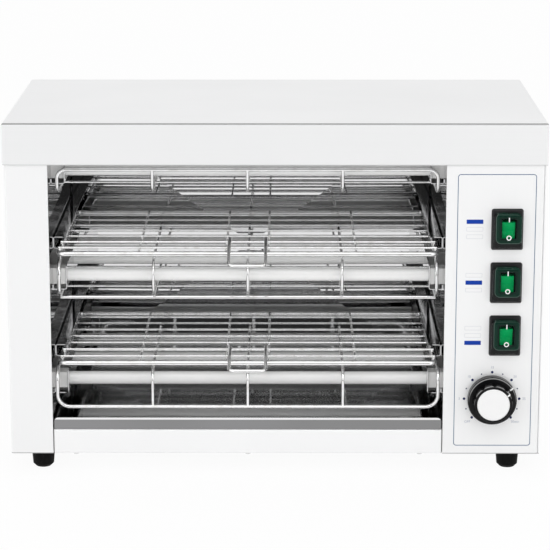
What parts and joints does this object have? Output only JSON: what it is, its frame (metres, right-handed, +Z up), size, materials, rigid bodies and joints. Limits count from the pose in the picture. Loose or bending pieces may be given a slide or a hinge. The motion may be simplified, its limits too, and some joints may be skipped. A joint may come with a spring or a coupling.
{
  "type": "salamander grill",
  "caption": "Table-top salamander grill: steel casing with quartz heating tubes behind wire guards, sliding wire racks, crumb tray, rocker switches and timer knob.",
  "frame": {"origin": "middle of the footprint on the table top, between the feet", "axes": "+X to the right as the user sees it, +Y to the back, +Z up"},
  "size_m": [0.5342, 0.3224, 0.3554],
  "materials": {
    "casing_steel": "satin stainless sheet",
    "plain_steel": "plain stainless sheet",
    "polished_steel": "polished stainless sheet",
    "quartz": "milky quartz",
    "heating_wire": "oxidised resistance wire",
    "ceramic": "white glazed ceramic",
    "brass": "plain brass",
    "chromed_wire": "bright chromed steel wire",
    "black_plastic": "black moulded plastic",
    "green_plastic": "green translucent plastic",
    "clear_cover": "dark green clear soft cover",
    "pale_plastic": "pale moulded plastic",
    "dark_plastic": "black nylon",
    "turned_steel": "turned steel",
    "bright_metal": "spun aluminium",
    "rubber": "black rubber",
    "screw_steel": "plated steel"
  },
  "bodies": {
    "casing": {"hood": "casing_steel", "left_side_panel": "casing_steel", "right_side_panel": "casing_steel", "control_panel": "casing_steel", "floor_pan": "casing_steel", "rear_panel": "plain_steel", "base_plate": "plain_steel", "left_liner": "polished_steel", "right_liner": "polished_steel", "back_liner": "polished_steel", "ceiling_liner": "polished_steel", "left_rack_rails": "polished_steel", "right_rack_rails": "polished_steel", "left_tube_brackets": "polished_steel", "right_tube_brackets": "polished_steel", "top_front_tube": "quartz", "top_centre_tube": "quartz", "top_rear_tube": "quartz", "middle_front_tube": "quartz", "middle_centre_tube": "quartz", "middle_rear_tube": "quartz", "bottom_front_tube": "quartz", "bottom_centre_tube": "quartz", "bottom_rear_tube": "quartz", "heating_coils": "heating_wire", "left_ceramic_caps": "ceramic", "right_ceramic_caps": "ceramic", "terminal_pins": "brass", "switch_tabs": "brass", "top_guard": "chromed_wire", "middle_guard": "chromed_wire", "bottom_guard": "chromed_wire", "top_switch_body": "black_plastic", "middle_switch_body": "black_plastic", "bottom_switch_body": "black_plastic", "top_switch_cover": "clear_cover", "middle_switch_cover": "clear_cover", "bottom_switch_cover": "clear_cover", "timer_body": "pale_plastic", "terminal_block": "pale_plastic", "cable_gland": "dark_plastic", "gland_nut": "dark_plastic", "rubber_feet": "rubber", "timer_screws": "screw_steel", "foot_screws": "screw_steel", "hood_screws": "screw_steel", "rear_screws": "screw_steel", "sill_screws": "screw_steel"},
    "upper_rack": {"upper_rack": "chromed_wire", "upper_rack_handle": "chromed_wire"},
    "lower_rack": {"lower_rack": "chromed_wire", "lower_rack_handle": "chromed_wire"},
    "crumb_tray": {"crumb_tray": "polished_steel"},
    "top_rocker": {"top_rocker": "green_plastic"},
    "middle_rocker": {"middle_rocker": "green_plastic"},
    "bottom_rocker": {"bottom_rocker": "green_plastic"},
    "timer_dial": {"timer_knob": "black_plastic", "knob_disc": "bright_metal", "timer_shaft": "turned_steel"}
  },
  "joints": [
    {"name": "upper_rack_slide", "type": "slide", "parent": "casing", "child": "upper_rack", "axis": [0, -1, 0], "range_m": [0, 0.14]},
    {"name": "lower_rack_slide", "type": "slide", "parent": "casing", "child": "lower_rack", "axis": [0, -1, 0], "range_m": [0, 0.14]},
    {"name": "crumb_tray_slide", "type": "slide", "parent": "casing", "child": "crumb_tray", "axis": [0, -1, 0], "range_m": [0, 0.19]},
    {"name": "top_rocker_tilt", "type": "hinge", "parent": "casing", "child": "top_rocker", "pos_m": [0.22685, -0.13082, 0.2506], "axis": [-1, 0, 0], "range_deg": [0, 14]},
    {"name": "middle_rocker_tilt", "type": "hinge", "parent": "casing", "child": "middle_rocker", "pos_m": [0.22685, -0.13082, 0.1969], "axis": [-1, 0, 0], "range_deg": [0, 14]},
    {"name": "bottom_rocker_tilt", "type": "hinge", "parent": "casing", "child": "bottom_rocker", "pos_m": [0.22685, -0.13082, 0.1432], "axis": [-1, 0, 0], "range_deg": [0, 14]},
    {"name": "timer_turn", "type": "hinge", "parent": "casing", "child": "timer_dial", "pos_m": [0.21525, -0.13282, 0.0782], "axis": [0, 1, 0], "range_deg": [-192, 78]}
  ]
}
